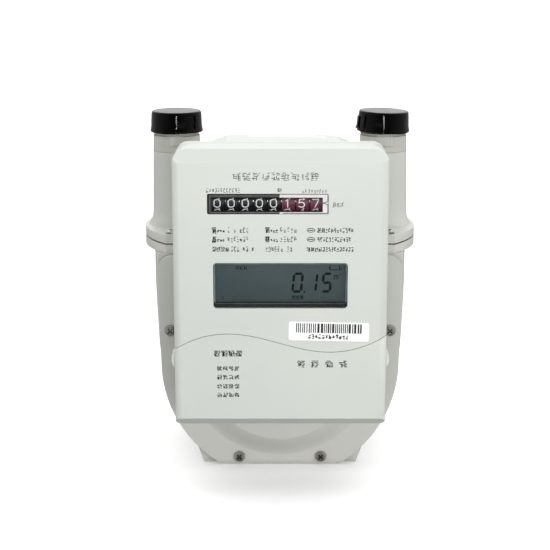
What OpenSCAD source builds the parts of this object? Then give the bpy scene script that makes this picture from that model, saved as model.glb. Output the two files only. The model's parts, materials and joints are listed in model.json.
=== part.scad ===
// Diaphragm gas meter with two top nozzles, a cast case, two diaphragm
// chambers, a valve gallery and an electronic index box on the front.
// +Z up, +X to the right seen from the front, -Y towards the front.
// Origin: centre of the base, below the line between the nozzles.

/* [Connections] */
// Distance between the centres of the two nozzles
nozzle_pitch = 130; // [128:0.5:132]
// Crest radius of the nozzle thread
nozzle_r = 14.9; // [14.8:0.05:15]
// Radius of the gas passage through each nozzle
nozzle_bore_r = 10.5; // [9:0.25:11]
// Height of the nozzle tops above the base
nozzle_top = 216.2; // [215:0.1:217]
// Height of the joint between cast tube and nozzle insert
insert_z = 193; // [192:0.5:194]

/* [Caps] */
// Inner radius of the soft dust caps
cap_in_r = 15.5; // [15.45:0.05:15.6]
// Outer radius of the dust caps at their mouth
cap_out_r = 16.25; // [16.2:0.05:16.6]
// Height of the skirt's lower edge above the base
cap_z0 = 204.9; // [204.5:0.1:206]

/* [Case] */
// Half depth of the lower body, without its covers
body_hd = 41; // [41:0.5:42]
// Underside of the flange of the lower body
flange_z = 134.8; // [134.5:0.1:135]
// Half width of the flange
flange_hw = 85.4; // [85:0.1:86.5]
// Half depth of the flange
flange_hd = 40; // [39.5:0.25:40.5]
// Top of the valve gallery
gallery_top = 186; // [185.5:0.5:190]

/* [Diaphragm covers] */
// Thickness of the cover plate
cover_t = 3.5; // [3.3:0.1:3.8]
// Height of the round dome above the plate
dome_h = 9; // [8:0.5:10]
// Foot radius of the dome
dome_r1 = 58.7; // [58:0.1:59]
// Radius of the dome's flat
dome_r2 = 46.2; // [45:0.1:47]
// Height of the dome's centre above the base
dome_z = 65.6; // [65.5:0.1:65.8]

/* [Index box] */
// Half width of the box
box_hw = 61.5; // [61.3:0.1:61.9]
// Front face of the box, distance in front of the nozzle plane
box_front_y = 102; // [102:0.1:102.5]
// Bottom of the box
box_z0 = 44.4; // [44.4:0.1:44.5]
// Top of the box
box_z1 = 207.5; // [207:0.1:208]
// Wall thickness of the box
box_wall = 2.5; // [2.3:0.1:2.6]

/* [Register] */
// Outer radius of the number wheels
wheel_r = 9.2; // [9:0.1:9.3]
// Spacing of the number wheels
wheel_pitch = 8.01; // [7.95:0.01:8.05]

/* [Hidden] */
$fn = 96;
cast = "#bdbcb3"; cast2 = "#c4c3ba"; white = "#dfe4dc"; dark = "#141414"; steel = "#a9abad"; brass = "#c2a048";
nx = nozzle_pitch / 2;
gy = body_hd;                    // front face of the lower body
cover_y0 = gy + 0.5;             // back of the cover plate
cover_y1 = cover_y0 + cover_t;   // front of the cover plate
side_r = 78.3;                   // radius of the two lower arcs of the cover
arc_x = 4.6; arc_z = 66.2;       // centres of the two lower arcs
cover_top = 134.3; cover_hw = 75;
seam_z = flange_z + 5.4;         // top of the lower flange
up_z = seam_z + 0.8;             // bottom of the upper flange
up_t = 5.2;                      // thickness of the upper flange
deck_z = 124;                    // top of the chambers
rod_x = -46; rod_y = -5;         // front flag rod
flag_a = 20; flag_l = 46.8;      // flag rest angle and reach
pan_y = -27;                     // rest plane of the diaphragm
hy = -95.5; hz = 50.5;           // hinge axis of the flip cover
split_y = -72;                   // joint between the halves of the box
wy = -88; wz = 176.3;            // axis of the number wheels
ix = 13.4; iz = 170;             // axis of the index shaft
idy = -74;                       // axis of the idler shaft
px = -76.8; pz = 180.9;          // axis of the transfer pinions
w0 = -35.8;                      // centre of the first wheel
bt_z = 66.8;                     // axis of the battery cells

module ext_y(y0, y1) { translate([0, y1, 0]) rotate([90, 0, 0]) linear_extrude(y1 - y0) children(); }
module ext_x(x0, x1) { translate([x0, 0, 0]) rotate([90, 0, 90]) linear_extrude(x1 - x0) children(); }
module cyl_x(x0, x1, y, z, r) { translate([x0, y, z]) rotate([0, 90, 0]) cylinder(r = r, h = x1 - x0); }
module cyl_y(y0, y1, x, z, r) { translate([x, y1, z]) rotate([90, 0, 0]) cylinder(r = r, h = y1 - y0); }
module cyl_z(z0, z1, x, y, r) { translate([x, y, z0]) cylinder(r = r, h = z1 - z0); }
module bx(x0, x1, y0, y1, z0, z1) { translate([x0, y0, z0]) cube([x1 - x0, y1 - y0, z1 - z0]); }
module both() { children(); rotate([0, 0, 180]) children(); }

// rounded rectangle with its own radius at the top and at the bottom
module rrect(x0, y0, x1, y1, rb, rt) {
  translate([x0 + rb, y0 + rb]) circle(rb);
  translate([x1 - rb, y0 + rb]) circle(rb);
  translate([x0 + rt, y1 - rt]) circle(rt);
  translate([x1 - rt, y1 - rt]) circle(rt);
  polygon([[x0 + rb, y0], [x1 - rb, y0], [x1, y0 + rb], [x1, y1 - rt], [x1 - rt, y1], [x0 + rt, y1], [x0, y1 - rt], [x0, y0 + rb]]);
}

// spur gear outline with straight-sided teeth
module gear2d(n, rr, rt, wr, wt) {
  circle(rr);
  for (i = [0:n - 1]) rotate(i * 360 / n) polygon([[rr - 0.5, -wr / 2], [rt, -wt / 2], [rt, wt / 2], [rr - 0.5, wr / 2]]);
}

// ---------------------------------------------------------------- screws
module pan_screw(l, r = 1.7, hr = 3.4, hh = 2.2) {
  difference() {
    union() {
      rotate_extrude() polygon([[0, 0], [hr, 0], [hr, hh * 0.45], [hr * 0.86, hh * 0.8], [hr * 0.6, hh], [0, hh]]);
      translate([0, 0, -l]) cylinder(r = r, h = l);
    }
    for (a = [0, 90]) rotate([0, 0, a + 45]) translate([-hr * 0.55, -hr * 0.13, hh * 0.35]) cube([hr * 1.1, hr * 0.26, hh]);
  }
}

// ------------------------------------------------------------ case outlines
module cover_outline(d = 0) {
  cr = max(9 - d, 1);
  ex = cover_hw - d; ez = cover_top - d;
  intersection() {
    union() {
      intersection() {
        translate([arc_x, arc_z]) circle(side_r - d);
        translate([-arc_x, arc_z]) circle(side_r - d);
      }
      polygon([[-73.7 + d, arc_z], [73.7 - d, arc_z], [ex, 118], [ex, ez - cr], [ex - cr, ez], [-ex + cr, ez], [-ex, ez - cr], [-ex, 118]]);
      for (s = [-1, 1]) translate([s * (ex - cr), ez - cr]) circle(cr);
    }
    translate([-90, d]) square([180, cover_top - 2 * d]);
  }
}
module body_outline() {
  intersection() {
    translate([arc_x, arc_z]) circle(side_r - 0.6);
    translate([-arc_x, arc_z]) circle(side_r - 0.6);
    translate([-90, 0]) square([180, 70]);
  }
  polygon([[-73.1, 60], [73.1, 60], [79.3, 128], [79.3, flange_z], [-79.3, flange_z], [-79.3, 128]]);
  polygon([[-48, 0], [48, 0], [53, 14], [-53, 14]]);
}
module body_plan() {
  intersection() {
    translate([-109.7, 0]) circle(189, $fn = 360);
    translate([109.7, 0]) circle(189, $fn = 360);
  }
}
module flange_plan(d = 0) {
  intersection() {
    union() {
      for (s = [-1, 1]) translate([s * (flange_hw - 60.4), 0]) circle(60.4 - d, $fn = 180);
      square([2 * (flange_hw - 60.4), 2 * (60.4 - d)], center = true);
    }
    rrect(-flange_hw - 1, -flange_hd + d, flange_hw + 1, flange_hd - d, 16, 16);
  }
}
module gallery_hole() {
  rrect(-50.5, -27.5, 50.5, 27.5, 9, 9);
  rrect(-nx - 8, -11, nx + 8, 11, 5, 5);
}
module chamber(d = 0) {
  intersection() { cover_outline(10.5 + d); translate([-90, 0]) square([180, deck_z - d]); }
  translate([0, dome_z]) circle(57.5 - d);
}
COVER_SCREWS = [[-67.8, 87.2], [67.8, 87.2], [-25.6, 5], [25.6, 5], [-38, 129.2], [38, 129.2]];
FLANGE_SCREWS = [[-67, -33.5], [67, -33.5], [-67, 33.5], [67, 33.5], [-30, -35.6], [30, -35.6], [-30, 35.6], [30, 35.6]];

module body_casting() difference() {
  union() {
    intersection() {
      ext_y(-gy, gy) body_outline();
      linear_extrude(flange_z) body_plan();
    }
    translate([0, 0, flange_z]) linear_extrude(seam_z - flange_z) flange_plan();
  }
  both() {
    ext_y(-gy - 1, -1.25) chamber();
    cyl_z(deck_z - 1, seam_z + 1, rod_x, rod_y, 4);
    // passages from each chamber to the valve table
    bx(-34, -30, -20, -4.2, deck_z - 1, seam_z + 1);
    bx(-18, -14, -20, -4.2, deck_z - 1, seam_z + 1);
    for (p = COVER_SCREWS) cyl_y(-gy - 1, -gy + 10, p[0], p[1], 1.7);
  }
  for (p = FLANGE_SCREWS) cyl_z(seam_z - 9, seam_z + 1, p[0], p[1], 1.9);
  // outlet channel inside the deck
  bx(-26, 61, -3.4, 0.5, 128, 135);
  for (x = [-26, 22, 56]) bx(x, x == 56 ? 61 : x + 4, -3.4, 0.5, 134, seam_z + 1);
}
module meter_body() color(cast) {
  body_casting();
  // lower pivots of the flag rods, on the partition
  both() difference() {
    union() { cyl_z(47, 53, rod_x, rod_y, 3.6); bx(rod_x - 3.6, rod_x + 3.6, rod_y, 0, 47, 53); }
    cyl_z(49.6, 54, rod_x, rod_y, 2.05);
  }
}

module case_gasket() color("#2b2b2a") translate([0, 0, seam_z]) linear_extrude(up_z - seam_z) difference() {
  flange_plan(1.2);
  gallery_hole();
  for (p = FLANGE_SCREWS) translate(p) circle(2.1);
}

module cast_tube(s) {
  translate([s * nx, 0, 0]) rotate_extrude() polygon(concat([[0, up_z + 1], [18.2, up_z + 1], [18.2, up_z + up_t]],
    [for (i = [0:8]) [15.5 + 2.7 * pow(1 - i / 8, 2), up_z + up_t + 9 * i / 8]], [[14.8, insert_z], [0, insert_z]]));
}

module upper_case() color(cast2) difference() {
  union() {
    translate([0, 0, up_z]) linear_extrude(up_t) flange_plan();
    for (s = [-1, 1]) cast_tube(s);
    // valve gallery between the tubes
    intersection() {
      translate([0, 0, up_z]) linear_extrude(gallery_top - up_z) rrect(-54, -31, 54, 31, 12, 12);
      ext_x(-60, 60) polygon([[-31, up_z], [31, up_z], [31, gallery_top - 7], [28.8, gallery_top - 2], [24, gallery_top], [-24, gallery_top], [-28.8, gallery_top - 2], [-31, gallery_top - 7]]);
      ext_y(-40, 40) polygon([[-54, up_z], [54, up_z], [54, gallery_top - 9], [51, gallery_top - 3], [45, gallery_top], [-45, gallery_top], [-51, gallery_top - 3], [-54, gallery_top - 9]]);
    }
    // pad that carries the index box
    ext_y(-36, -30) rrect(-24, 153, 24, 180, 4, 4);
  }
  translate([0, 0, up_z - 1]) linear_extrude(11) gallery_hole();
  translate([0, 0, up_z]) linear_extrude(gallery_top - 4 - up_z) rrect(-50.5, -27.5, 50.5, 27.5, 9, 9);
  for (s = [-1, 1]) {
    cyl_z(up_z + 5, insert_z + 1, s * nx, 0, nozzle_bore_r);
    cyl_z(insert_z - 14, insert_z + 1, s * nx, 0, 12.6);
  }
  cyl_y(-37, -26, ix, iz, 5);
  for (s = [-1, 1]) cyl_y(-37, -28.5, s * 19, 158, 1.5);
  for (p = FLANGE_SCREWS) cyl_z(up_z - 1, up_z + up_t + 1, p[0], p[1], 2.1);
}

module flange_screws() color(steel) for (p = FLANGE_SCREWS) translate([p[0], p[1], up_z + up_t]) pan_screw(up_t + 8, 1.9, 3.4, 2);

// ---------------------------------------------------------------- nozzles
module nozzle(s) translate([s * nx, 0, 0]) difference() {
  union() {
    cyl_z(insert_z - 13.8, insert_z, 0, 0, 12.6);
    cyl_z(insert_z, insert_z + 3.7, 0, 0, 14.75);
    difference() {
      cyl_z(insert_z + 3.7, insert_z + 10, 0, 0, 14.65);
      for (k = [-1, 1]) translate([-20, k > 0 ? 13.4 : -33.4, insert_z + 3.7]) cube([40, 20, 20]);
    }
    rotate_extrude() polygon([[0, insert_z + 10], [nozzle_r, insert_z + 10], [nozzle_r, nozzle_top - 0.8], [nozzle_r - 0.8, nozzle_top], [0, nozzle_top]]);
  }
  cyl_z(insert_z - 20, nozzle_top + 1, 0, 0, nozzle_bore_r);
}
module inlet_nozzle() color(cast2) nozzle(-1);
module outlet_nozzle() color(cast2) nozzle(1);

module cap(s) translate([s * nx, 0, 0]) rotate_extrude() polygon([[0, nozzle_top], [cap_in_r, nozzle_top], [cap_in_r, cap_z0],
  [cap_out_r, cap_z0], [cap_out_r, cap_z0 + 0.8], [cap_out_r - 0.3, nozzle_top + 0.4], [cap_out_r - 0.6, nozzle_top + 1.2],
  [cap_out_r - 1.1, nozzle_top + 1.7], [cap_out_r - 2, nozzle_top + 1.7], [cap_out_r - 2.7, nozzle_top + 1.2], [0, nozzle_top + 1.2]]);
module inlet_cap() color(dark) cap(-1);
module outlet_cap() color(dark) cap(1);

// ------------------------------------------------------- diaphragm covers
module front_diaphragm_cover() color(cast) difference() {
  union() {
    ext_y(-cover_y1, -cover_y0) cover_outline();
    translate([0, 0, dome_z]) rotate([90, 0, 0]) rotate_extrude($fn = 180) polygon([[0, cover_y1 - 1], [dome_r1 + 0.6, cover_y1 - 1], [dome_r1 + 0.6, cover_y1], [dome_r1 - 1, cover_y1 + 0.5],
      [dome_r2 + 1.2, cover_y1 + dome_h - 0.7], [dome_r2 - 0.4, cover_y1 + dome_h], [0, cover_y1 + dome_h]]);
  }
  translate([0, 0, dome_z]) rotate([90, 0, 0]) rotate_extrude($fn = 180) polygon([[0, cover_y0 - 1], [dome_r1 - 3.2, cover_y0 - 1], [dome_r1 - 3.2, cover_y1 - 1], [dome_r2 - 1.4, cover_y1 + dome_h - 3.2], [0, cover_y1 + dome_h - 3.2]]);
  for (p = COVER_SCREWS) cyl_y(-cover_y1 - 1, -cover_y0 + 1, p[0], p[1], 2);
}
module rear_diaphragm_cover() color(cast) rotate([0, 0, 180]) front_diaphragm_cover();

module cover_gaskets() color("#2b2b2a") both() ext_y(-cover_y0, -gy) difference() {
  cover_outline(1);
  chamber(-0.6);
  for (p = COVER_SCREWS) translate(p) circle(2);
}
module cover_screws() color(steel) both() for (p = COVER_SCREWS) translate([p[0], -cover_y1, p[1]]) rotate([90, 0, 0]) pan_screw(cover_t + 9);

// ------------------------------------------------- diaphragms and flags
module diaphragm_frames() color("#8f9498") both() ext_y(pan_y, pan_y + 2.5) difference() {
  chamber(0.06);
  translate([0, dome_z]) circle(53);
}
module clamp_rings() color("#8f9498") both() ext_y(pan_y - 3.5, pan_y - 1) difference() {
  translate([0, dome_z]) circle(57.2);
  translate([0, dome_z]) circle(53);
}
module diaphragm() color("#7a4a32") translate([0, 0, dome_z]) rotate([90, 0, 0]) rotate_extrude() difference() {
  union() {
    translate([6.4, -pan_y]) square([30.6, 1]);
    translate([52, -pan_y]) square([5, 1]);
    translate([44.5, -pan_y + 0.5]) circle(8.2);
  }
  translate([44.5, -pan_y + 0.5]) circle(7.2);
  translate([30, -pan_y + 1]) square([23, 12]);
}
module front_diaphragm() diaphragm();
module rear_diaphragm() rotate([0, 0, 180]) diaphragm();

module pan() color("#d9d6c8") difference() {
  union() {
    cyl_y(pan_y - 2.5, pan_y - 1, 0, dome_z, 36);
    cyl_y(pan_y, pan_y + 1.5, 0, dome_z, 36);
    cyl_y(pan_y - 2.5, pan_y + 1.5, 0, dome_z, 6);
    // ears that hold the flag's pin
    bx(-14, 6.5, pan_y + 1, pan_y + 10.5, dome_z - 9.6, dome_z - 6.6);
    bx(-14, 6.5, pan_y + 1, pan_y + 10.5, dome_z + 6.6, dome_z + 9.6);
  }
  // slot for the pin
  bx(-11.6, 3.6, -21 - 2.7, -21 + 2.7, dome_z - 12, dome_z + 12);
}
module front_diaphragm_pan() pan();
module rear_diaphragm_pan() rotate([0, 0, 180]) pan();

module flag() color("#c9a24a") {
  translate([rod_x, rod_y, 0]) rotate([0, 0, -flag_a]) {
    cyl_z(50, 158, 0, 0, 2);
    difference() {
      bx(-3.4, flag_l + 0.2, -1, 1, dome_z - 5.6, dome_z + 5.6);
      bx(14, 34, -2, 2, dome_z - 2, dome_z + 2);
    }
    cyl_z(dome_z - 5.6, dome_z + 5.6, 0, 0, 3.4);
    cyl_z(dome_z - 10.5, dome_z + 10.5, flag_l, 0, 1.5);
  }
  // arm on top of the rod
  translate([rod_x, rod_y, 0]) {
    difference() {
      translate([0, 0, 154]) linear_extrude(2.6) polygon([[-2.8, -2.8], [2.8, -3.6], [33, -3], [33, 3], [2.8, 3.6], [-2.8, 2.8]]);
      cyl_z(150, 160, 30, 0, 1.2);
    }
  }
}
module front_flag() flag();
module rear_flag() rotate([0, 0, 180]) flag();

module rod_bushings() color(brass) both() difference() {
  union() {
    cyl_z(seam_z - 10, seam_z, rod_x, rod_y, 4);
    cyl_z(seam_z, seam_z + 1.5, rod_x, rod_y, 5.5);
  }
  cyl_z(seam_z - 12, seam_z + 3, rod_x, rod_y, 2.05);
}

// ---------------------------------------------------------- valve gallery
module valve_table() color("#3c3f42") difference() {
  union() {
    translate([0, 0, seam_z]) linear_extrude(3) rrect(-39, -24, 39, 24, 4, 4);
    for (s = [-1, 1]) translate([s * 24, 0, seam_z + 3]) linear_extrude(1.2) rrect(-13, -12, 13, 12, 2, 2);
  }
  for (s = [-1, 1]) for (k = [-1, 0, 1]) bx(s * 24 + k * 8 - 2, s * 24 + k * 8 + 2, -8, 8, seam_z - 1, seam_z + 6);
  cyl_z(seam_z + 0.8, seam_z + 4, 0, 0, 2.05);
  both() cyl_z(seam_z - 1, seam_z + 5, rod_x, rod_y, 9);
  cyl_z(seam_z - 1, seam_z + 5, -42, 18.6, 8.6);
}
module valve_cover(x) color("#5a4130") difference() {
  union() {
    translate([x, 0, seam_z + 4.2]) linear_extrude(5) rrect(-9.5, -10, 9.5, 10, 2.5, 2.5);
    translate([x, 0, seam_z + 9]) linear_extrude(1.6) rrect(-3, -3, 3, 3, 1, 1);
  }
  translate([x, 0, seam_z + 4.1]) linear_extrude(3.6) rrect(-6.2, -8.4, 6.2, 8.4, 1.5, 1.5);
}
module left_valve_cover() valve_cover(-24);
module right_valve_cover() valve_cover(24);

module crank() color("#e8e4d6") {
  cyl_z(seam_z + 1, 178, 0, 0, 2);
  difference() {
    cyl_z(149.5, 151.5, 0, 0, 9);
    for (a = [60, 180, 300]) rotate([0, 0, a]) cyl_z(149, 152, 5.6, 0, 1.6);
  }
  cyl_z(151.5, 153.6, 7, 0, 1.3);
  // worm
  cyl_z(166, 174, 0, 0, 3.4);
  for (k = [0:3]) rotate_extrude() polygon([[3, 166.3 + 2 * k], [4, 166.8 + 2 * k], [4, 167.3 + 2 * k], [3, 167.8 + 2 * k]]);
}
module crank_bracket() color(steel) difference() {
  union() {
    for (s = [-1, 1]) {
      bx(-4, 4, s * 21 - 1.5, s * 21 + 1.5, seam_z + 3, 177);
      bx(-6, 6, s * 20 - 4, s * 20 + 4, seam_z + 3, seam_z + 5);
    }
    bx(-4, 4, -22.5, 22.5, 175, 177.5);
  }
  cyl_z(174, 179, 0, 0, 2.05);
}
module outlet_duct() color("#3c3f42") difference() {
  union() {
    cyl_z(up_z + 5.4, 158, nx, 0, nozzle_bore_r - 0.3);
    bx(54, 72.2, -8.4, 8.4, seam_z, seam_z + 9);
  }
  cyl_z(seam_z + 6, 160, nx, 0, nozzle_bore_r - 2.9);
  bx(55.6, 71, -6.8, 6.8, seam_z + 1.6, seam_z + 7.4);
  bx(56, 61, -3.4, 0.5, seam_z - 1, seam_z + 3);
}
module shutoff_valve() color("#46515a") difference() {
  union() {
    cyl_z(seam_z, seam_z + 2, -42, 18.6, 8.2);
    cyl_z(seam_z, 162, -42.2, 18.8, 7.5);
    cyl_z(162, 166, -42.2, 18.8, 5);
  }
  cyl_z(seam_z + 5, 158, -42.2, 18.8, 5.4);
}

module index_shaft() color("#e8e4d6") {
  cyl_y(-69, 6, ix, iz, 1.6);
  ext_y(-3, 3) translate([ix, iz]) gear2d(25, 8, 9, 1.3, 0.8);
  cyl_y(-69.5, -66.5, ix, iz, 4.2);
  translate([ix, -69.5, iz]) rotate([90, 0, 0]) cylinder(r1 = 4.2, r2 = 2.2, h = 2);
}
module shaft_bushing() color(brass) difference() {
  union() {
    cyl_y(-38, -26, ix, iz, 5);
    cyl_y(-27.5, -25.5, ix, iz, 6.5);
  }
  cyl_y(-40, -20, ix, iz, 1.65);
}
module idler_shaft() color("#e8e4d6") {
  cyl_x(17, 33.5, idy, iz, 1.2);
  cyl_x(17.9, 20.5, idy, iz, 4.2);
  translate([15.9, idy, iz]) rotate([0, 90, 0]) cylinder(r1 = 2.2, r2 = 4.2, h = 2);
  translate([26.2, idy, iz]) rotate([0, 90, 0]) rotate([0, 0, atan2(wy - idy, iz - wz)]) linear_extrude(2.6) gear2d(16, 6.6, 8.3, 1.7, 0.9);
}

// -------------------------------------------------------------- index box
module side_profile(d, y0, y1) {
  f = -box_front_y + d;
  polygon([[y1, box_z0 + d], [-96 + 0.5 * d, box_z0 + d], [f, 49.5 + 0.6 * d], [f, 200.1 - 0.4 * d], [-96 + 0.4 * d, box_z1 - d], [y1, box_z1 - d]]);
}
// outer shape of the box, moved inwards by d
module box_shape(d, yb) {
  intersection() {
    ext_y(-box_front_y - 1, yb) rrect(-box_hw + d, box_z0 + d, box_hw - d, box_z1 - d, 3.4 - 0.5 * d, 8 - 0.6 * d);
    ext_x(-70, 70) side_profile(d, -box_front_y, yb);
    linear_extrude(230) rrect(-box_hw + d, -box_front_y + d, box_hw - d, 0, 4 - 0.5 * d, 1);
  }
}
function wave(x) = 95.4 + 5.6 * cos(180 * (x + 32) / 62) + 4.4 * sign(x) * pow(abs(x) / 61, 5);
module below_wave(dz, d = 0) {
  polygon(concat([for (i = [-21:21]) [i * 3.1, wave(min(max(i * 3.1, -61.5), 61.5)) + dz]], [[70, 30], [-70, 30]]));
}
module above_wave(dz) {
  polygon(concat([for (i = [-21:21]) [i * 3.1, wave(min(max(i * 3.1, -61.5), 61.5)) + dz]], [[70, 230], [-70, 230]]));
}
module flip_zone(g) {
  translate([-104, hz + 0.4 - g]) square([15 + g, 60]);
  translate([-104, 40]) square([104 + hy, hz - 39]);
  translate([hy, hz]) circle(6.4 + g * 0.8);
}
BOSS = [[-55, 96.5], [55, 107], [-53, 158], [53, 158]];

module box_front() color(white) {
  box_front_shell();
  hinge_ears();
}
module box_front_shell() difference() {
  union() {
    difference() {
      box_shape(0, split_y);
      // inside
      intersection() { box_shape(box_wall, split_y + 1); ext_y(-110, -60) above_wave(2.6); }
      intersection() { box_shape(box_wall, split_y + 1); translate([-80, -86, 0]) cube([160, 40, 300]); }
      box_shape(box_wall + 2.5, split_y + 1);
      // recess under the flip cover
      difference() {
        intersection() { ext_x(-70, 70) flip_zone(0.37); ext_y(-110, -80) below_wave(0.15); }
        box_shape(box_wall + 0.3, split_y);
      }
    }
    // wall behind the hinge trough
    intersection() {
      cyl_x(-58.2, 58.2, hy, hz, 8.6);
      box_shape(box_wall + 0.3, split_y);
    }
    // screw posts
    for (p = BOSS) difference() { cyl_y(-90, split_y, p[0], p[1], 3.6); }
    for (p = [BOSS[0], BOSS[2]]) bx(-60, p[0], -90, split_y, p[1] - 1, p[1] + 1);
    for (p = [BOSS[1], BOSS[3]]) bx(p[0], 60, -90, split_y, p[1] - 1, p[1] + 1);
  }
  cyl_x(-59.6, 59.6, hy, hz, 7);
  // battery opening and card slot
  bx(-52.5, 52.5, -101, -90, 60.2, 73.8);
  bx(-28.6, 28.6, -101, -90, 78.8, 81.2);
  // display and counter windows
  ext_y(-110, -96) rrect(-38.5, 116.1, 38.5, 142.9, 2, 2);
  ext_y(-110, -96) rrect(-41.6, 171.1, 27.3, 182.9, 1, 1);
  for (p = BOSS) cyl_y(-86, split_y + 1, p[0], p[1], 1.4);
  // side button
  cyl_x(55, 66, -84, 122, 4);
}
// ears that hold the hinge pins, on the side that the cover never sweeps
module hinge_ears() for (s = [-1, 1]) difference() {
  union() {
    cyl_x(s > 0 ? 45.4 : -51.6, s > 0 ? 51.6 : -45.4, hy, hz, 2.1);
    translate([0, hy, hz]) rotate([96, 0, 0]) bx(s > 0 ? 45.8 : -51.2, s > 0 ? 51.2 : -45.8, 1.5, 7.8, -1, 1);
  }
  cyl_x(-70, 70, hy, hz, 1);
}

module box_gasket() color("#2b2b2a") ext_y(split_y, split_y + 0.6) difference() {
  rrect(-box_hw + 0.8, box_z0 + 0.8, box_hw - 0.8, box_z1 - 0.8, 3, 7.5);
  rrect(-box_hw + 2.5, box_z0 + 2.5, box_hw - 2.5, box_z1 - 2.5, 2.1, 6.5);
}
module box_back() color(white) difference() {
  union() {
    intersection() {
      ext_y(split_y + 0.6, -62) rrect(-box_hw, box_z0, box_hw, box_z1, 3.4, 8);
      ext_x(-70, 70) polygon([[-72, box_z0], [-64, box_z0], [-62, box_z0 + 2], [-62, box_z1 - 2], [-64, box_z1], [-72, box_z1]]);
    }
    // rear housing that reaches back to the case
    intersection() {
      ext_y(-63, -36) polygon([[-38, 150], [38, 150], [42, 156], [42, 203.5], [35, 206.6], [20, 208.4], [0, 208.9], [-20, 208.4], [-32, 207.4], [-42, 203.5], [-42, 156]]);
      ext_x(-70, 70) polygon([[-63, 150], [-36, 150], [-36, 205.6], [-38, 207.8], [-47, 209], [-55, 208.4], [-63, 206.6]]);
    }
    // small catches under the box
    for (s = [-1, 1]) { bx(s * 50 - 2.6, s * 50 + 2.6, -71, -65, box_z0 - 1.6, box_z0 + 1); bx(s * 45 - 0.6, s * 45 + 0.6, -71, -65, box_z0 - 2.2, box_z0 + 1); }
  }
  intersection() {
    ext_y(split_y - 1, -64.5) rrect(-box_hw + 2.5, box_z0 + 2.5, box_hw - 2.5, box_z1 - 2.5, 2.1, 6.5);
    difference() { bx(-70, 70, -80, -60, 40, 210); for (p = BOSS) cyl_y(-73, -60, p[0], p[1], 4.2); }
  }
  ext_y(-66, -39) rrect(-38, 153.5, 38, 203, 3, 5);
  cyl_y(-40, -35, ix, iz, 5.3);
  for (s = [-1, 1]) cyl_y(-40, -35, s * 19, 158, 1.7);
  for (p = BOSS) { cyl_y(-74, -60, p[0], p[1], 1.6); cyl_y(-64.4, -60, p[0], p[1], 3.2); }
}
module box_screws() color(steel) {
  for (p = BOSS) translate([p[0], -64.4, p[1]]) rotate([-90, 0, 0]) pan_screw(18, 1.4, 2.9, 1.9);
  for (s = [-1, 1]) translate([s * 19, -39, 158]) rotate([90, 0, 0]) pan_screw(9, 1.5, 3, 2);
}

module flip_cover() color(white) difference() {
  union() {
    difference() {
      intersection() {
        box_shape(0, -80);
        ext_x(-70, 70) flip_zone(0);
        ext_y(-110, -80) below_wave(-0.15);
      }
      box_shape(2.3, -70);
    }
    // knuckles
    for (s = [-1, 1]) {
      cyl_x(s > 0 ? 52 : -59.6, s > 0 ? 59.6 : -52, hy, hz, 2.6);
      intersection() {
        bx(s > 0 ? 52 : -59.6, s > 0 ? 59.6 : -52, -101, hy, hz - 2.6, hz + 2.6);
        box_shape(0.2, -80);
      }
    }
    // finger tabs on both sides
    for (s = [-1, 1]) translate([0, 0, 0]) ext_y(-98.5, -92) polygon([[s * 60.4, 79.6], [s * 62.3, 80.4], [s * 63.2, 83], [s * 63.2, 86.6], [s * 62.5, 89], [s * 60.4, 89.8]]);
  }
  for (s = [-1, 1]) cyl_x(s > 0 ? 50 : -60.6, s > 0 ? 60.6 : -50, hy, hz, 1.05);
}
module hinge_pins() color(steel) for (s = [-1, 1]) cyl_x(s > 0 ? 45.4 : -60.2, s > 0 ? 60.2 : -45.4, hy, hz, 1);

module lcd_lens() color([0.6, 0.68, 0.7, 0.5]) {
  ext_y(-101.2, -99.5) rrect(-38.35, 116.25, 38.35, 142.75, 1.9, 1.9);
  ext_y(-99.5, -98.4) rrect(-40.5, 114, 40.5, 145, 2, 2);
}
module lcd_module() color("#5c686b") {
  difference() {
    ext_y(-98.3, -91) rrect(-41, 113, 41, 146, 1.5, 1.5);
    ext_y(-99, -96.8) rrect(-37.5, 117, 37.5, 142, 1, 1);
  }
  for (k = [-5:5]) bx(k * 6 - 0.4, k * 6 + 0.4, -91, -84, 111.5, 114.5);
}
module counter_lens() color([0.7, 0.75, 0.78, 0.4]) {
  ext_y(-101.3, -99.5) rrect(-41.5, 171.2, 27.2, 182.8, 0.9, 0.9);
}
module counter_frame() color(dark) difference() {
  union() {
    ext_y(-99.4, -98) rrect(-43.5, 167, 32.9, 187, 1.5, 1.5);
    bx(-43.5, -41.6, -98.2, -73.5, 167, 187);
    bx(31, 32.9, -98.2, -71.5, 165, 187);
  }
  ext_y(-101, -97) polygon([[-38.9, 172.3], [23.7, 172.3], [23.7, 180.3], [-38.9, 180.3]]);
  cyl_x(-50, 50, wy, wz, 2);
  cyl_x(-50, 50, px, pz, 1);
  cyl_x(28, 50, idy, iz, 1.25);
}
module number_wheel(i) color(i < 6 ? dark : "#6e2f45") difference() {
  union() {
    cyl_x(w0 + (i - 1) * wheel_pitch - 3.45, w0 + (i - 1) * wheel_pitch + 3.45, wy, wz, wheel_r);
    cyl_x(w0 + (i - 1) * wheel_pitch + 3.4, w0 + (i - 1) * wheel_pitch + 4.1, wy, wz, wheel_r - 1.2);
    if (i == 8) {
      cyl_x(24, 26.6, wy, wz, 4);
      translate([26.2, wy, wz]) rotate([0, 90, 0]) rotate([0, 0, atan2(idy - wy, wz - iz) + 180 / 16]) linear_extrude(2.6) gear2d(16, 6.05, 7.75, 1.7, 0.9);
    }
  }
  cyl_x(-60, 60, wy, wz, 2.05);
  difference() {
    cyl_x(w0 + (i - 1) * wheel_pitch - 4, w0 + (i - 1) * wheel_pitch - 1.8, wy, wz, wheel_r - 1.6);
    cyl_x(w0 + (i - 1) * wheel_pitch - 5, w0 + (i - 1) * wheel_pitch, wy, wz, 3.6);
  }
}
module number_wheel_1() number_wheel(1);
module number_wheel_2() number_wheel(2);
module number_wheel_3() number_wheel(3);
module number_wheel_4() number_wheel(4);
module number_wheel_5() number_wheel(5);
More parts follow.
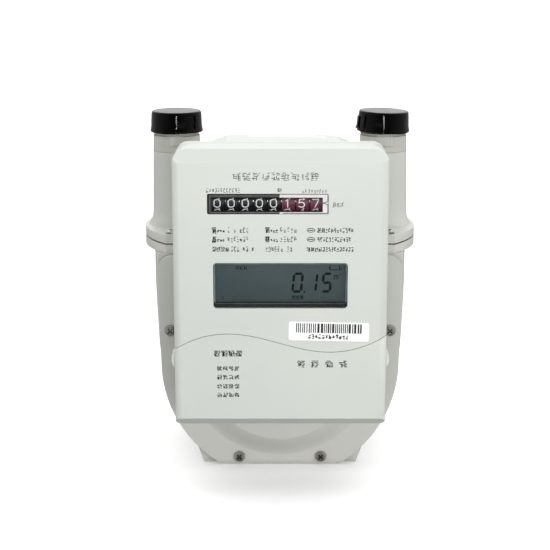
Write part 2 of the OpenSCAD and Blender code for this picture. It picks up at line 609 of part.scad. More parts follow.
module number_wheel_6() number_wheel(6);
module number_wheel_7() number_wheel(7);
module number_wheel_8() number_wheel(8);
module wheel_shaft() color(steel) cyl_x(-43.5, 32.9, wy, wz, 2);
module transfer_pinions() color("#d8d4c4") for (i = [1:7]) translate([w0 + (i - 0.5) * wheel_pitch - 2.4, px, pz]) rotate([0, 90, 0]) linear_extrude(4.8) difference() {
  gear2d(8, 1.7, 2.6, 0.9, 0.5);
  circle(1.05);
}
module pinion_shaft() color(steel) cyl_x(-43.5, 32.9, px, pz, 1);

module circuit_board() color("#1f6b3a") {
  difference() {
    bx(-52, 52, -84, -82.4, 87, 160);
    for (s = [-1, 1]) for (z = [91, 156]) cyl_y(-86, -80, s * 48, z, 1.6);
    for (p = BOSS) cyl_y(-86, -80, p[0], p[1], 4.4);
  }
  bx(-24, -8, -86.2, -84, 94, 106);
  bx(6, 22, -85.4, -84, 150, 158);
  bx(-44, -24, -82.4, -79, 120, 150);
  cyl_y(-82.4, -76, 34, 140, 5);
  cyl_y(-82.4, -73, 20, 128, 4);
  // switch behind the side button
  bx(48, 52.3, -86.6, -84, 118.5, 125.5);
}
module battery_tray() color("#3a3d40") difference() {
  bx(-54.5, 54.5, -96.6, -65.2, 59.3, 74.9);
  for (y = [-88.4, -73.4]) {
    cyl_x(-53, 53, y, bt_z, 7.3);
    bx(-53, 53, -98, y, 60.3, 73.3);
  }
}
module cell(x0, x1, y) {
  cyl_x(x0, x1 - 1.2, y, bt_z, 7.1);
  cyl_x(x1 - 1.2, x1, y, bt_z, 2.7);
}
module battery_cells() color("#b98a3c") for (y = [-88.4, -73.4]) {
  cell(-50.6, -0.9, y);
  cell(0.2, 49.9, y);
}
module battery_contacts() color(steel) {
  for (y = [-88.4, -73.4]) {
    bx(52.4, 53, y - 5, y + 5, bt_z - 5, bt_z + 5);
    translate([49.9, y, bt_z]) rotate([0, 90, 0]) difference() { cylinder(r = 2.5, h = 2.6); translate([0, 0, -1]) cylinder(r = 1.6, h = 5); }
    bx(-53, -52.4, y - 5, y + 5, bt_z - 5, bt_z + 5);
    for (k = [0:1]) translate([-52.4 + k * 0.9, y, bt_z]) rotate([0, 90, 0]) difference() { cylinder(r = 3.4 - k * 0.6, h = 0.9); translate([0, 0, -1]) cylinder(r = 2.3 - k * 0.6, h = 5); }
  }
}
module card_reader() color("#232527") difference() {
  bx(-31, 31, -96.9, -66, 76.2, 84.2);
  bx(-28, 28, -98, -68, 79.2, 80.8);
}
module side_button() color("#8a8f8c") difference() {
  union() {
    cyl_x(55.2, 62.4, -84, 122, 3.75);
    cyl_x(57.2, 58.6, -84, 122, 5);
  }
  cyl_x(54, 58.4, -84, 122, 2.6);
}
module button_spring() color(steel) difference() {
  cyl_x(52.3, 58.4, -84, 122, 2.2);
  cyl_x(52, 59, -84, 122, 1.7);
}
module barcode_sticker() color("white") ext_y(-102.15, -102) translate([27.95, 102.3]) rotate(-1.2) rrect(-23.2, -5.6, 23.2, 5.6, 1.2, 1.2);

meter_body();
case_gasket();
upper_case();
flange_screws();
inlet_nozzle();
outlet_nozzle();
inlet_cap();
outlet_cap();
front_diaphragm_cover();
rear_diaphragm_cover();
cover_gaskets();
cover_screws();
diaphragm_frames();
front_diaphragm();
rear_diaphragm();
clamp_rings();
front_diaphragm_pan();
rear_diaphragm_pan();
front_flag();
rear_flag();
rod_bushings();
valve_table();
left_valve_cover();
right_valve_cover();
crank();
crank_bracket();
outlet_duct();
shutoff_valve();
index_shaft();
shaft_bushing();
idler_shaft();
box_back();
box_gasket();
box_front();
box_screws();
flip_cover();
hinge_pins();
lcd_lens();
lcd_module();
counter_lens();
counter_frame();
number_wheel_1();
number_wheel_2();
number_wheel_3();
number_wheel_4();
number_wheel_5();
number_wheel_6();
number_wheel_7();
number_wheel_8();
wheel_shaft();
transfer_pinions();
pinion_shaft();
circuit_board();
battery_tray();
battery_cells();
battery_contacts();
card_reader();
side_button();
button_spring();
barcode_sticker();
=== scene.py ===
import json
import math
import random

import bpy
from mathutils import Matrix, Vector, noise


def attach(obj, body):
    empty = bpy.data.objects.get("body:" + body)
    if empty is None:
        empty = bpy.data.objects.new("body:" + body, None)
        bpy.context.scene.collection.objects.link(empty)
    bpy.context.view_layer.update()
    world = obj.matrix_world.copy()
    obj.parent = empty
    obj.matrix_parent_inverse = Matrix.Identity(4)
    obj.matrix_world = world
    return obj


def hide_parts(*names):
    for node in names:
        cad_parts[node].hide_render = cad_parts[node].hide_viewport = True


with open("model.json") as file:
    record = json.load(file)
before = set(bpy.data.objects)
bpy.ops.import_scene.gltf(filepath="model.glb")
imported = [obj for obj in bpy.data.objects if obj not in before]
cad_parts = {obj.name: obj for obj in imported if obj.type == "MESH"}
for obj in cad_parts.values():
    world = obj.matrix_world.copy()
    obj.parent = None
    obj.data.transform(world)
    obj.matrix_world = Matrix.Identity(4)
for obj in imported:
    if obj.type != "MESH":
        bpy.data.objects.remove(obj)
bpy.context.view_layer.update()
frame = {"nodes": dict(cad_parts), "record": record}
NODE = frame["nodes"]
MM = 0.001


def lin(r, g, b):
    """sRGB 0-255 to linear."""
    out = []
    for c in (r, g, b):
        c /= 255.0
        out.append(c / 12.92 if c <= 0.04045 else ((c + 0.055) / 1.055) ** 2.4)
    return (*out, 1.0)


# ------------------------------------------------------------------ materials
def surface(name, c1, c2, patch=30, rough=(0.35, 0.45), rscale=90, grain=1800, depth=0.00002, strength=0.4,
            waves=None, crevice_shade=None, speck=None, **sockets):
    """A finish with colour that drifts between c1 and c2, roughness that drifts, and a fine grain as bump."""
    m = bpy.data.materials.new(name)
    m.use_nodes = True
    nt = m.node_tree
    nd, lk = nt.nodes, nt.links
    b = nd["Principled BSDF"]
    tc = nd.new("ShaderNodeTexCoord")
    n1 = nd.new("ShaderNodeTexNoise")
    n1.inputs["Scale"].default_value = patch
    n1.inputs["Detail"].default_value = 4
    lk.new(tc.outputs["Object"], n1.inputs["Vector"])
    ramp = nd.new("ShaderNodeValToRGB")
    ramp.color_ramp.elements[0].position = 0.3
    ramp.color_ramp.elements[1].position = 0.7
    ramp.color_ramp.elements[0].color = c1
    ramp.color_ramp.elements[1].color = c2
    lk.new(n1.outputs["Fac"], ramp.inputs["Fac"])
    col = ramp.outputs["Color"]
    if speck:
        n4 = nd.new("ShaderNodeTexNoise")
        n4.inputs["Scale"].default_value = speck[1]
        n4.inputs["Detail"].default_value = 2
        lk.new(tc.outputs["Object"], n4.inputs["Vector"])
        r4 = nd.new("ShaderNodeValToRGB")
        r4.color_ramp.elements[0].position = speck[2]
        r4.color_ramp.elements[1].position = speck[2] + 0.06
        lk.new(n4.outputs["Fac"], r4.inputs["Fac"])
        mx = nd.new("ShaderNodeMixRGB")
        mx.inputs["Color2"].default_value = speck[0]
        lk.new(r4.outputs["Color"], mx.inputs["Fac"])
        lk.new(col, mx.inputs["Color1"])
        col = mx.outputs["Color"]
    # painted shade: an ambient-occlusion mask multiplies the colour towards the given dark tint in creases, seams and
    # recesses
    if crevice_shade:
        ao = nd.new("ShaderNodeAmbientOcclusion")
        ao.samples = 6
        ao.inputs["Distance"].default_value = crevice_shade[1]
        ra = nd.new("ShaderNodeValToRGB")
        ra.color_ramp.elements[0].position = 0.25
        ra.color_ramp.elements[1].position = 0.85
        ra.color_ramp.elements[0].color = crevice_shade[0]
        ra.color_ramp.elements[1].color = (1, 1, 1, 1)
        lk.new(ao.outputs["AO"], ra.inputs["Fac"])
        mg = nd.new("ShaderNodeMixRGB")
        mg.blend_type = "MULTIPLY"
        mg.inputs["Fac"].default_value = 1.0
        lk.new(col, mg.inputs["Color1"])
        lk.new(ra.outputs["Color"], mg.inputs["Color2"])
        col = mg.outputs["Color"]
    lk.new(col, b.inputs["Base Color"])
    n2 = nd.new("ShaderNodeTexNoise")
    n2.inputs["Scale"].default_value = rscale
    n2.inputs["Detail"].default_value = 3
    lk.new(tc.outputs["Object"], n2.inputs["Vector"])
    mr = nd.new("ShaderNodeMapRange")
    mr.inputs["To Min"].default_value = rough[0]
    mr.inputs["To Max"].default_value = rough[1]
    lk.new(n2.outputs["Fac"], mr.inputs["Value"])
    lk.new(mr.outputs["Result"], b.inputs["Roughness"])
    n3 = nd.new("ShaderNodeTexNoise")
    n3.inputs["Scale"].default_value = grain
    n3.inputs["Detail"].default_value = 2
    lk.new(tc.outputs["Object"], n3.inputs["Vector"])
    bp = nd.new("ShaderNodeBump")
    bp.inputs["Strength"].default_value = strength
    bp.inputs["Distance"].default_value = depth
    lk.new(n3.outputs["Fac"], bp.inputs["Height"])
    last = bp
    if waves:
        n5 = nd.new("ShaderNodeTexNoise")
        n5.inputs["Scale"].default_value = waves[0]
        n5.inputs["Detail"].default_value = 1
        lk.new(tc.outputs["Object"], n5.inputs["Vector"])
        b2 = nd.new("ShaderNodeBump")
        b2.inputs["Strength"].default_value = 0.5
        b2.inputs["Distance"].default_value = waves[1]
        lk.new(n5.outputs["Fac"], b2.inputs["Height"])
        lk.new(bp.outputs["Normal"], b2.inputs["Normal"])
        last = b2
    lk.new(last.outputs["Normal"], b.inputs["Normal"])
    for k, v in sockets.items():
        b.inputs[k.replace("_", " ")].default_value = v
    return m


# ENAMEL, INSERT, WHITE and NICKEL carry painted shade: their colour darkens in creases, seams and screw recesses
ENAMEL = surface("case_enamel", lin(199, 200, 193), lin(206, 206, 200), patch=14, rough=(0.30, 0.40), rscale=60, grain=950,
                 depth=0.00003, strength=0.35, waves=(70, 0.0001), crevice_shade=(lin(196, 194, 186), 0.005), Coat_Weight=0.15, Coat_Roughness=0.2)
INSERT = surface("insert_enamel", lin(190, 190, 182), lin(200, 200, 192), patch=40, rough=(0.28, 0.38), grain=1100, depth=0.00002,
                 crevice_shade=(lin(190, 188, 180), 0.004))
WHITE = surface("box_white", lin(201, 207, 200), lin(206, 211, 204), patch=10, rough=(0.34, 0.42), rscale=40, grain=2600,
                depth=0.000012, strength=0.5, crevice_shade=(lin(205, 206, 200), 0.003))
GREY = surface("button_grey", lin(150, 154, 152), lin(162, 166, 163), rough=(0.4, 0.5), grain=2600)
VINYL = surface("cap_vinyl", lin(2, 2, 2), lin(4, 4, 4), patch=60, rough=(0.07, 0.13), rscale=130, grain=700, depth=0.00003,
                strength=0.4, waves=(120, 0.00016), Specular_IOR_Level=0.11)
# painted reflection: the cap top uses a copy of the black vinyl with a lighter grey base colour, painting the sheen of
# the bright surroundings on the top
VINYL_TOP_SHEEN = surface("cap_vinyl_top_sheen", lin(34, 34, 34), lin(48, 48, 48), patch=80, rough=(0.2, 0.34), rscale=160, grain=700, depth=0.00003,
                    strength=0.4, waves=(90, 0.0001), Specular_IOR_Level=0.75)
NICKEL = surface("screw_nickel", lin(150, 148, 145), lin(186, 184, 180), patch=260, rough=(0.22, 0.38), rscale=420, grain=5200,
                 depth=0.000015, crevice_shade=(lin(40, 40, 40), 0.0018), Metallic=1.0)
STEEL = surface("plated_steel", lin(160, 163, 168), lin(188, 190, 192), patch=120, rough=(0.25, 0.42), rscale=300, grain=3600,
                depth=0.00001, Metallic=1.0)
BRASS = surface("turned_brass", lin(196, 160, 84), lin(214, 182, 108), patch=90, rough=(0.22, 0.36), rscale=260, grain=4200,
                depth=0.00001, Metallic=1.0)
RUBBER = surface("gasket_rubber", lin(34, 34, 33), lin(46, 46, 44), rough=(0.6, 0.8), grain=1800, depth=0.00003)
MEMBRANE = surface("diaphragm_rubber", lin(92, 56, 38), lin(116, 74, 50), patch=50, rough=(0.55, 0.75), grain=1500, depth=0.00008, strength=0.7)
ACETAL = surface("acetal", lin(224, 218, 200), lin(234, 229, 213), rough=(0.35, 0.5), grain=2400)
PHENOLIC = surface("phenolic", lin(70, 42, 28), lin(92, 58, 38), patch=160, rough=(0.3, 0.5), grain=1700, speck=(lin(120, 84, 60), 900, 0.62))
BLACK = surface("black_moulding", lin(26, 27, 28), lin(36, 37, 38), rough=(0.4, 0.55), grain=2600, depth=0.00002)
BEZEL = surface("bezel_black", lin(30, 31, 31), lin(44, 45, 45), patch=200, rough=(0.2, 0.32), grain=2600, depth=0.00001,
                Specular_IOR_Level=0.15)
DRUM = surface("drum_black", lin(13, 13, 14), lin(20, 20, 22), rough=(0.3, 0.45), grain=2200, depth=0.00001, Specular_IOR_Level=0.2)
MAROON = surface("drum_maroon", lin(98, 40, 62), lin(112, 50, 72), rough=(0.3, 0.45), grain=2200, depth=0.00001, Specular_IOR_Level=0.2)
INK = surface("print_ink", lin(14, 19, 18), lin(27, 33, 31), patch=500, rough=(0.5, 0.6), grain=3000, depth=0.000005)
INK_SOFT = surface("print_ink_soft", lin(66, 72, 70), lin(86, 92, 88), patch=500, rough=(0.5, 0.6), grain=3000, depth=0.000005)
NUMERAL = surface("numeral_white", lin(222, 222, 220), lin(236, 236, 234), patch=400, rough=(0.4, 0.5), grain=3000, depth=0.000005)
PAPER = surface("sticker_paper", lin(246, 247, 247), lin(252, 252, 252), rough=(0.35, 0.45), grain=2200, depth=0.000008)
BAR = surface("bar_ink", lin(14, 14, 15), lin(26, 26, 27), patch=600, rough=(0.5, 0.6), grain=3000, depth=0.000004)
CRYSTAL = surface("lcd_surface", lin(64, 78, 80), lin(74, 88, 90), patch=22, rough=(0.3, 0.4), rscale=20, grain=3000,
                  depth=0.000004, strength=0.2, Specular_IOR_Level=0.15)
SEGMENT = surface("lcd_segment", lin(2, 4, 5), lin(5, 7, 8), rough=(0.4, 0.5), grain=3000, depth=0.000004, Specular_IOR_Level=0.1)
GHOST = surface("lcd_icon", lin(6, 9, 10), lin(12, 16, 17), rough=(0.4, 0.5), grain=3000, depth=0.000004, Specular_IOR_Level=0.1)
# painted highlight: grey of the line on the upper edge of the dark strip below the display
SEAT_EDGE_HIGHLIGHT = surface("lcd_seat_edge_highlight", lin(58, 64, 64), lin(74, 80, 80), patch=200, rough=(0.3, 0.4), grain=2600, depth=0.00001)
# painted light: the display colour is multiplied from 0.72 at the bottom up to 1.0 at the top, so it is painted
# brighter towards its top
lcd_light_nodes = CRYSTAL.node_tree
shade = lcd_light_nodes.nodes.new("ShaderNodeValToRGB")
shade.color_ramp.elements[0].position, shade.color_ramp.elements[0].color = 0.15, (0.72, 0.72, 0.72, 1)
shade.color_ramp.elements[1].position, shade.color_ramp.elements[1].color = 0.95, (1.0, 1.0, 1.0, 1)
place, part = lcd_light_nodes.nodes.new("ShaderNodeTexCoord"), lcd_light_nodes.nodes.new("ShaderNodeSeparateXYZ")
lcd_light_nodes.links.new(place.outputs["Generated"], part.inputs["Vector"])
lcd_light_nodes.links.new(part.outputs["Z"], shade.inputs["Fac"])
tint = lcd_light_nodes.nodes.new("ShaderNodeMixRGB")
tint.blend_type = "MULTIPLY"
tint.inputs["Fac"].default_value = 1.0
base = lcd_light_nodes.nodes["Principled BSDF"].inputs["Base Color"]
lcd_light_nodes.links.new(base.links[0].from_socket, tint.inputs["Color1"])
lcd_light_nodes.links.new(shade.outputs["Color"], tint.inputs["Color2"])
lcd_light_nodes.links.new(tint.outputs["Color"], base)
MASK = surface("circuit_mask", lin(20, 92, 52), lin(28, 108, 62), patch=200, rough=(0.25, 0.4), grain=1600, depth=0.00002, Coat_Weight=0.4)
CELLS = surface("cell_sleeve", lin(158, 112, 44), lin(184, 136, 60), patch=60, rough=(0.2, 0.3), grain=900, depth=0.00001, Metallic=0.4)
# pale grey for the line in the counter mask and for the frame round the display, where it paints the reflection along
# the lens edges
PALE_LINE = surface("pale_line_grey", lin(112, 118, 118), lin(140, 146, 145), patch=160, rough=(0.15, 0.25), grain=2600, depth=0.00001)
BAND = surface("band_white", lin(206, 206, 205), lin(222, 220, 220), patch=260, rough=(0.2, 0.3), grain=2600, depth=0.00001)


def clear(name, tint, alpha):
    m = surface(name, tint, tint, rough=(0.03, 0.07), grain=1500, depth=0.000004, strength=0.1, Alpha=alpha)
    m.node_tree.nodes["Principled BSDF"].inputs["IOR"].default_value = 1.5
    if hasattr(m, "surface_render_method"):
        m.surface_render_method = "BLENDED"
    return m


LENS = clear("clear_lens", lin(96, 108, 112), 0.022)

LOOK = {
    "cast_case": ENAMEL, "white_plastic": WHITE, "grey_plastic": GREY, "caps": VINYL, "screws": NICKEL, "plated_steel": STEEL,
    "brass": BRASS, "gasket": RUBBER, "diaphragm": MEMBRANE, "inner_plastic": ACETAL, "bakelite": PHENOLIC,
    "black_plastic": BLACK, "clear_window": LENS, "lcd_glass": CRYSTAL, "wheel_black": DRUM, "wheel_red": MAROON,
    "circuit_board": MASK, "battery_cells": CELLS, "sticker": PAPER,
}
for part in frame["record"]["subparts"]:
    o = NODE[part["node"]]
    m = LOOK[part["material_slot"]]
    if not o.material_slots:
        o.data.materials.append(m)
    for s in o.material_slots:
        s.material = m
for n in ("inlet_nozzle", "outlet_nozzle"):
    for s in NODE[n].material_slots:
        s.material = INSERT

# softened edges of the castings and mouldings
for n, w, seg in (
    ("meter_body", 1.3, 3), ("upper_case", 1.1, 3), ("front_diaphragm_cover", 1.0, 3), ("rear_diaphragm_cover", 1.0, 3),
    ("box_front", 0.45, 2), ("box_back", 0.5, 2), ("flip_cover", 0.3, 2), ("barcode_sticker", 0.03, 1), ("side_button", 0.4, 2),
    ("cover_screws", 0.12, 2), ("flange_screws", 0.12, 2), ("box_screws", 0.12, 2), ("lcd_lens", 0.2, 2), ("battery_tray", 0.3, 2),
):
    o = NODE[n]
    wd = o.modifiers.new("weld", "WELD")
    wd.merge_threshold = 0.000002
    mb = o.modifiers.new("edge", "BEVEL")
    mb.width = w * MM
    mb.segments = seg
    mb.limit_method = "ANGLE"
    mb.angle_limit = math.radians(28)
    mb.use_clamp_overlap = True
    mb.harden_normals = False


# ------------------------------------------------------------------ mesh helpers
def make(name, verts, faces, mats, body, smooth=False, face_mats=None, scale=MM):
    me = bpy.data.meshes.new(name)
    me.from_pydata([Vector(v) * scale for v in verts], [], faces)
    me.validate()
    me.update()
    o = bpy.data.objects.new(name, me)
    bpy.context.scene.collection.objects.link(o)
    for m in mats if isinstance(mats, (list, tuple)) else [mats]:
        me.materials.append(m)
    if face_mats:
        for p, k in zip(me.polygons, face_mats):
            p.material_index = k
    if smooth:
        me.polygons.foreach_set("use_smooth", [True] * len(me.polygons))
        me.set_sharp_from_angle(angle=math.radians(38))
    me.update()
    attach(o, body)
    return o


class Plate:
    """Collects thin closed prisms on a plane Y = y, each given by its outline in X and Z."""

    def __init__(self, y, t=0.05, sink=0.02):
        self.y, self.t, self.sink, self.v, self.f = y, t, sink, [], []

    def poly(self, pts):
        k, n = len(self.v), len(pts)
        area = sum(pts[i][0] * pts[(i + 1) % n][1] - pts[(i + 1) % n][0] * pts[i][1] for i in range(n))
        if area < 0:
            pts = pts[::-1]
        self.v += [(x, self.y - self.t, z) for x, z in pts] + [(x, self.y + self.sink, z) for x, z in pts]
        self.f.append(tuple(range(k, k + n)))
        self.f.append(tuple(range(k + 2 * n - 1, k + n - 1, -1)))
        for i in range(n):
            j = (i + 1) % n
            self.f.append((k + i, k + n + i, k + n + j, k + j))

    def rect(self, x0, z0, x1, z1):
        self.poly([(x0, z0), (x1, z0), (x1, z1), (x0, z1)])

    def line(self, x0, z0, x1, z1, w):
        d = math.hypot(x1 - x0, z1 - z0) or 1e-6
        ux, uz = (x1 - x0) / d, (z1 - z0) / d
        a, b = -uz * w / 2, ux * w / 2
        e, g = ux * w * 0.3, uz * w * 0.3
        self.poly([(x0 - e + a, z0 - g + b), (x0 - e - a, z0 - g - b), (x1 + e - a, z1 + g - b), (x1 + e + a, z1 + g + b)])

    def ring(self, cx, cz, rx, rz, w, n=20):
        for i in range(n):
            a, b = 2 * math.pi * i / n, 2 * math.pi * (i + 1) / n
            self.poly([(cx + rx * math.cos(a), cz + rz * math.sin(a)), (cx + rx * math.cos(b), cz + rz * math.sin(b)),
                       (cx + (rx - w) * math.cos(b), cz + (rz - w) * math.sin(b)), (cx + (rx - w) * math.cos(a), cz + (rz - w) * math.sin(a))])

    def done(self, name, mat, body, turn=None):
        v = self.v
        if turn:
            c, s = math.cos(turn[2]), math.sin(turn[2])
            v = [(turn[0] + (x - turn[0]) * c - (z - turn[1]) * s, y, turn[1] + (x - turn[0]) * s + (z - turn[1]) * c) for x, y, z in v]
        return make(name, v, self.f, mat, body)


def mark(p, rng, x, z, w, h, t, dense=4):
    """A small block of broken dashes where the real face has printing. It has no meaning and is no character."""
    for r in range(5):
        c = rng.uniform(-0.1, 0.25)
        while c < 0.95:
            e = min(1.0, c + rng.uniform(0.18, 0.55))
            if rng.random() < 0.2 + 0.16 * dense:
                zz = z + h * (r + 0.5) / 5
                p.line(x + max(c, 0) * w, zz, x + e * w, zz + rng.uniform(-0.05, 0.05) * h, t * 0.9)
            c = e + rng.uniform(0.12, 0.3)
    for k in range(2):
        c, b = rng.uniform(0.1, 0.9), rng.uniform(0.0, 0.5)
        p.line(x + c * w, z + b * h, x + c * w, z + (b + rng.uniform(0.25, 0.45)) * h, t * 0.9)


def slim(p, rng, x, z, w, h, t):
    """A narrower block of dashes."""
    k = rng.randrange(3)
    cuts = sorted(rng.sample([0.0, 0.22, 0.44, 0.66, 0.88], 3))
    for c in cuts:
        a, b = rng.uniform(0, 0.35), rng.uniform(0.6, 1.0)
        p.line(x + a * w, z + (c + 0.06) * h, x + b * w, z + (c + 0.06) * h, t * 0.85)
    if k:
        c = rng.choice([0.15, 0.8])
        b = rng.uniform(0.0, 0.45)
        p.line(x + c * w, z + b * h, x + c * w, z + (b + 0.5) * h, t * 0.85)


# ------------------------------------------------------------------ soft caps
def cap(name, node, body, cx, seed, tilt, tab):
    """Soft vinyl dust cap: a lathed cup with a beaded lip, wrinkles and a sunken top."""
    prof = [(0, 217.1), (6, 217.1), (10.5, 217.2), (12.6, 217.45), (13.7, 217.85), (14.4, 217.95), (14.95, 217.8), (15.35, 217.4),
            (15.58, 216.7), (15.68, 215.6), (15.76, 214), (15.84, 212.4), (15.92, 210.8), (16.0, 209.2), (16.1, 207.8), (16.25, 206.8),
            (16.45, 206.1), (16.5, 205.6), (16.4, 205.15), (16.15, 204.9), (15.8, 204.95), (15.5, 205.3), (15.4, 206), (15.3, 210),
            (15.25, 214), (15.0, 216.0), (14.2, 216.35), (8, 216.4), (0, 216.4)]
    n = 120
    v, f = [], []
    for i, (r, z) in enumerate(prof):
        if r == 0:
            v.append((cx, 0, z))
            continue
        for k in range(n):
            a = 2 * math.pi * k / n
            d = Vector((math.cos(a) * 2.2, math.sin(a) * 2.2, z * 0.12 + seed * 9.7))
            w = noise.noise(d * 1.6) * 0.16 + noise.noise(d * 4.5) * 0.06
            low = max(0.0, min(1.0, (213 - z) / 7)) if i < 20 else max(0.0, min(1.0, (213 - z) / 9))
            rr = r + w * (0.35 + 0.9 * low) if r > 12 else r
            zz = z
            if z < 207.2:
                zz += 0.35 * noise.noise(Vector((math.cos(a) * 1.5, math.sin(a) * 1.5, seed * 3.1)))
            if r <= 13.8 and z > 216.8:
                zz += 0.10 * noise.noise(Vector((math.cos(a) * r * 0.16, math.sin(a) * r * 0.16, seed)))
            v.append((cx + rr * math.cos(a), rr * math.sin(a), zz))
    idx = []
    base = 0
    for r, z in prof:
        idx.append((base, 1 if r == 0 else n))
        base += 1 if r == 0 else n
    for (b0, c0), (b1, c1) in zip(idx, idx[1:]):
        for k in range(n):
            k2 = (k + 1) % n
            if c0 == 1:
                f.append((b0, b1 + k, b1 + k2))
            elif c1 == 1:
                f.append((b0 + k, b1, b0 + k2))
            else:
                f.append((b0 + k, b1 + k, b1 + k2, b0 + k2))
    if tab:
        # pull tab: a thin strip that stands off the wall
        k0 = len(v)
        rows = 9
        for i in range(rows):
            t = i / (rows - 1)
            z = 214.6 - 8.0 * t
            off = 0.1 + 0.5 * t + 0.8 * max(0.0, t - 0.8) / 0.2
            for s in (-1, 1):
                for th in (0, 1):
                    a = math.radians(188) + s * math.radians(11 - 2.5 * t)
                    r = 15.9 + off + th * 0.75
                    v.append((cx + r * math.cos(a), r * math.sin(a), z - (0.25 if i == rows - 1 and th else 0)))
        for i in range(rows - 1):
            a = k0 + 4 * i
            b = a + 4
            f += [(a, b, b + 2, a + 2), (a + 1, a + 3, b + 3, b + 1), (a, a + 1, b + 1, b), (a + 2, b + 2, b + 3, a + 3)]
        e = k0 + 4 * (rows - 1)
        f += [(k0, k0 + 2, k0 + 3, k0 + 1), (e, e + 1, e + 3, e + 2)]
    # the faces of the sunken top take the lighter vinyl copy, a painted reflection
    top = []
    for face in f:
        q = [v[k] for k in face]
        top.append(1 if all(z > 216.9 and math.hypot(x - cx, y) < 14.5 for x, y, z in q) else 0)
    c, s = math.cos(tilt), math.sin(tilt)
    v = [(cx + (x - cx) * c + (z - 211) * s, y, 211 - (x - cx) * s + (z - 211) * c) for x, y, z in v]
    o = make(name, v, f, [VINYL, VINYL_TOP_SHEEN], body, smooth=True, face_mats=top)
    sub = o.modifiers.new("soft", "SUBSURF")
    sub.levels = sub.render_levels = 1
    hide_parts(node)
    return o


cap("inlet_cap_vinyl", "inlet_cap", "inlet_cap", -65, 1.0, 0.0, False)
cap("outlet_cap_vinyl", "outlet_cap", "outlet_cap", 65, 5.0, math.radians(1.7), True)


# ------------------------------------------------------------------ threaded nozzles
def nozzle(name, node, cx):
    """Threaded pipe end with two wrench flats. The wall is one closed skin from the socket to the bore."""
    n = 120
    rows = [(12.6, 179.2), (12.6, 192.9), (14.5, 193.0), (14.75, 193.2), (14.75, 196.4), (14.7, 196.7)]
    v, f = [], []
    rings = []

    def ring(fn, z):
        rings.append(len(v))
        for k in range(n):
            a = 2 * math.pi * k / n
            r = fn(a)
            v.append((cx + r * math.cos(a), r * math.sin(a), z))

    for r, z in rows:
        ring(lambda a, r=r: r, z)

    def flats(a):
        s = abs(math.sin(a))
        return min(14.6, 13.4 / s if s > 1e-6 else 99)

    ring(flats, 196.75)
    ring(flats, 202.8)
    ring(lambda a: 14.1, 203.0)
    z = 203.2
    while z < 215.2:
        def thr(a, z=z):
            p = ((z / 2.0) - a / (2 * math.pi)) % 1.0
            h = 1 - abs(2 * p - 1)
            fade = min(1.0, (z - 203.0) / 1.4, (215.9 - z) / 0.9)
            return 13.65 + 1.2 * min(1.0, max(0.0, h * 1.25 - 0.1)) * max(0.0, fade)
        ring(thr, z)
        z += 0.2
    ring(lambda a: 13.6, 215.9)
    ring(lambda a: 13.2, 216.2)
    ring(lambda a: 10.9, 216.2)
    ring(lambda a: 10.5, 215.8)
    ring(lambda a: 10.5, 190)
    ring(lambda a: 10.5, 179.2)
    for a, b in zip(rings, rings[1:] + rings[:1]):
        for k in range(n):
            k2 = (k + 1) % n
            f.append((a + k, a + k2, b + k2, b + k))
    o = make(name, v, f, INSERT, "meter", smooth=True)
    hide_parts(node)


nozzle("inlet_thread", "inlet_nozzle", -65)
nozzle("outlet_thread", "outlet_nozzle", 65)

# ------------------------------------------------------------------ number wheels
WY, WZ, WR, W0, PITCH = -88.0, 176.3, 9.2, -35.8, 8.01
SHOWN = [0, 0, 0, 0, 0, 1, 5, 7]


def numeral_strokes(d):
    """Centre lines of a rounded numeral in a 1 wide, 1 tall cell."""
    def arc(cx, cz, rx, rz, a0, a1, n=10):
        return [(cx + rx * math.cos(math.radians(a0 + (a1 - a0) * i / n)), cz + rz * math.sin(math.radians(a0 + (a1 - a0) * i / n))) for i in range(n + 1)]
    return {
        0: [arc(0.5, 0.68, 0.42, 0.32, 0, 180) + arc(0.5, 0.32, 0.42, 0.32, 180, 360) + [(0.92, 0.68)]],
        1: [[(0.28, 0.82), (0.52, 1.0), (0.52, 0.0)]],
        2: [arc(0.5, 0.7, 0.4, 0.3, 170, -30) + [(0.1, 0.0), (0.92, 0.0)]],
        3: [arc(0.48, 0.75, 0.38, 0.25, 150, -80), arc(0.48, 0.26, 0.42, 0.26, 80, -150)],
        4: [[(0.7, 0.0), (0.7, 1.0), (0.08, 0.3), (0.95, 0.3)]],
        5: [[(0.88, 1.0), (0.22, 1.0), (0.16, 0.56)] + arc(0.48, 0.32, 0.42, 0.32, 120, -145)],
        6: [arc(0.5, 0.68, 0.4, 0.32, 40, 180) + arc(0.5, 0.32, 0.4, 0.32, 180, 540, 20)],
        7: [[(0.08, 1.0), (0.92, 1.0), (0.42, 0.0)]],
        8: [arc(0.5, 0.75, 0.34, 0.25, -90, 270, 18), arc(0.5, 0.26, 0.42, 0.26, 90, 450, 18)],
        9: [arc(0.5, 0.68, 0.4, 0.32, 0, 360, 20) + arc(0.5, 0.32, 0.4, 0.32, 0, -140)],
    }[d]


def on_drum(x, s, lift):
    """Point on a drum: s is the arc length up from the middle of the front."""
    a = s / WR
    r = WR + lift
    return (x, WY - r * math.cos(a), WZ + r * math.sin(a))


